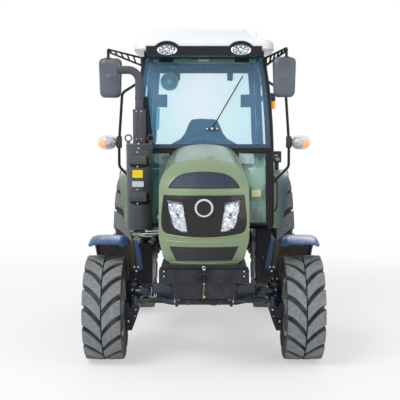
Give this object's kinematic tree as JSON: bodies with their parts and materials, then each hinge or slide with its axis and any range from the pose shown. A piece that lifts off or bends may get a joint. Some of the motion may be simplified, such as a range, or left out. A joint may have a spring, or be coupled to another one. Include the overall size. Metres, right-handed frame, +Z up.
{
  "type": "farm tractor",
  "caption": "Compact farm tractor with an enclosed cab, rounded tilting hood, steered driven front axle, side exhaust stack and rear three-point hitch.",
  "frame": {"origin": "on the ground under the centre of the bounding box", "axes": "+Z up, front of the tractor towards -Y, +X to the driver's left"},
  "size_m": [1.86, 3.4999, 2.645],
  "materials": {
    "green_paint": "gloss",
    "white_plastic": "gloss",
    "black_gloss": "gloss",
    "grille_black": "matte",
    "lamp_lens": "gloss",
    "amber_lens": "gloss",
    "cab_glass": "gloss",
    "cab_paint": "satin",
    "chassis_paint": "satin",
    "cast_paint": "satin",
    "exhaust_paint": "matte",
    "dark_plastic": "satin",
    "rim_paint": "gloss",
    "tyre_rubber": "matte",
    "seat_fabric": "matte",
    "bright_steel": "satin",
    "cord_fibre": "matte"
  },
  "bodies": {
    "chassis": {"axle_beam": "cast_paint", "cab_fan": "dark_plastic", "cab_frame": "cab_paint", "cab_windows": "cab_glass", "controls": "dark_plastic", "drawbar": "chassis_paint", "engine": "cast_paint", "exhaust_pipe": "exhaust_paint", "front_plate": "chassis_paint", "front_support": "chassis_paint", "fuel_tank": "dark_plastic", "gearbox": "cast_paint", "lamp_rails": "cab_paint", "mirror_left": "dark_plastic", "mirror_right": "dark_plastic", "pin_cord": "cord_fibre", "radiator": "chassis_paint", "rear_fenders": "green_paint", "rear_lamps": "amber_lens", "rear_window": "cab_glass", "roof": "white_plastic", "roof_visor": "cab_paint", "seat_base": "dark_plastic", "seat_cushion": "seat_fabric", "silencer": "exhaust_paint", "steering_cylinder": "chassis_paint", "steering_wheel": "dark_plastic", "steps": "chassis_paint", "top_link": "chassis_paint", "turn_lamps": "amber_lens", "windshield": "cab_glass", "wiper": "cab_paint", "work_lamps": "lamp_lens"},
    "hood": {"hood": "green_paint", "hood_grilles": "grille_black", "nose_mask": "black_gloss", "headlamps": "lamp_lens"},
    "knuckle_left": {"final_drive_left": "cast_paint", "front_guard_left": "black_gloss"},
    "knuckle_right": {"final_drive_right": "cast_paint", "front_guard_right": "black_gloss"},
    "wheel_front_left": {"tyre_front_left": "tyre_rubber", "rim_front_left": "rim_paint"},
    "wheel_front_right": {"tyre_front_right": "tyre_rubber", "rim_front_right": "rim_paint"},
    "wheel_rear_left": {"tyre_rear_left": "tyre_rubber", "rim_rear_left": "rim_paint"},
    "wheel_rear_right": {"tyre_rear_right": "tyre_rubber", "rim_rear_right": "rim_paint"},
    "steering_rod": {"steering_rod": "bright_steel"},
    "door_left": {"door_left": "cab_paint", "door_glass_left": "cab_glass"},
    "door_right": {"door_right": "cab_paint", "door_glass_right": "cab_glass"},
    "lift_arms": {"lift_arms": "chassis_paint"},
    "lower_links": {"lower_links": "chassis_paint"},
    "lift_rods": {"lift_rods": "chassis_paint"}
  },
  "joints": [
    {"name": "steer_left", "type": "hinge", "parent": "chassis", "child": "knuckle_left", "pos_m": [0.545, -1.11, 0.45], "axis": [0, 0, 1], "range_deg": [-35, 35]},
    {"name": "steer_right", "type": "hinge", "parent": "chassis", "child": "knuckle_right", "pos_m": [-0.545, -1.11, 0.45], "axis": [0, 0, 1], "range_deg": [-35, 35]},
    {"name": "steer_slide", "type": "slide", "parent": "chassis", "child": "steering_rod", "axis": [1, 0, 0], "range_m": [-0.0862, 0.0862]},
    {"name": "spin_front_left", "type": "hinge", "parent": "knuckle_left", "child": "wheel_front_left", "pos_m": [0.75, -1.11, 0.399], "axis": [1, 0, 0], "continuous": true},
    {"name": "spin_front_right", "type": "hinge", "parent": "knuckle_right", "child": "wheel_front_right", "pos_m": [-0.75, -1.11, 0.399], "axis": [1, 0, 0], "continuous": true},
    {"name": "spin_rear_left", "type": "hinge", "parent": "chassis", "child": "wheel_rear_left", "pos_m": [0.6675, 0.89, 0.655], "axis": [1, 0, 0], "continuous": true},
    {"name": "spin_rear_right", "type": "hinge", "parent": "chassis", "child": "wheel_rear_right", "pos_m": [-0.6675, 0.89, 0.655], "axis": [1, 0, 0], "continuous": true},
    {"name": "door_left_swing", "type": "hinge", "parent": "chassis", "child": "door_left", "pos_m": [0.55583, 0.577, 2], "axis": [-0.0532, 0, 0.9986], "range_deg": [0, 60]},
    {"name": "door_right_swing", "type": "hinge", "parent": "chassis", "child": "door_right", "pos_m": [-0.55583, 0.577, 2], "axis": [-0.0532, 0, -0.9986], "range_deg": [0, 60]},
    {"name": "hood_tilt", "type": "hinge", "parent": "chassis", "child": "hood", "pos_m": [0, -0.25, 1.58], "axis": [-1, 0, 0], "range_deg": [0, 50]},
    {"name": "hitch_lift", "type": "hinge", "parent": "chassis", "child": "lift_arms", "pos_m": [0, 1.065, 0.95], "axis": [1, 0, 0], "range_deg": [-20, 30]},
    {"name": "link_swing", "type": "hinge", "parent": "chassis", "child": "lower_links", "pos_m": [0, 0.98, 0.5], "axis": [1, 0, 0], "range_deg": [-13.7, 20.5]},
    {"name": "rod_swing", "type": "hinge", "parent": "lift_arms", "child": "lift_rods", "pos_m": [0, 1.323, 0.982], "axis": [1, 0, 0], "range_deg": [-30, 20]}
  ],
  "couplings": [
    {"joint": "steer_right", "follows": "steer_left", "ratio": 1},
    {"joint": "steer_slide", "follows": "steer_left", "m_per_rad": 0.141},
    {"joint": "link_swing", "follows": "hitch_lift", "ratio": 0.684},
    {"joint": "rod_swing", "follows": "hitch_lift", "ratio": -1}
  ]
}
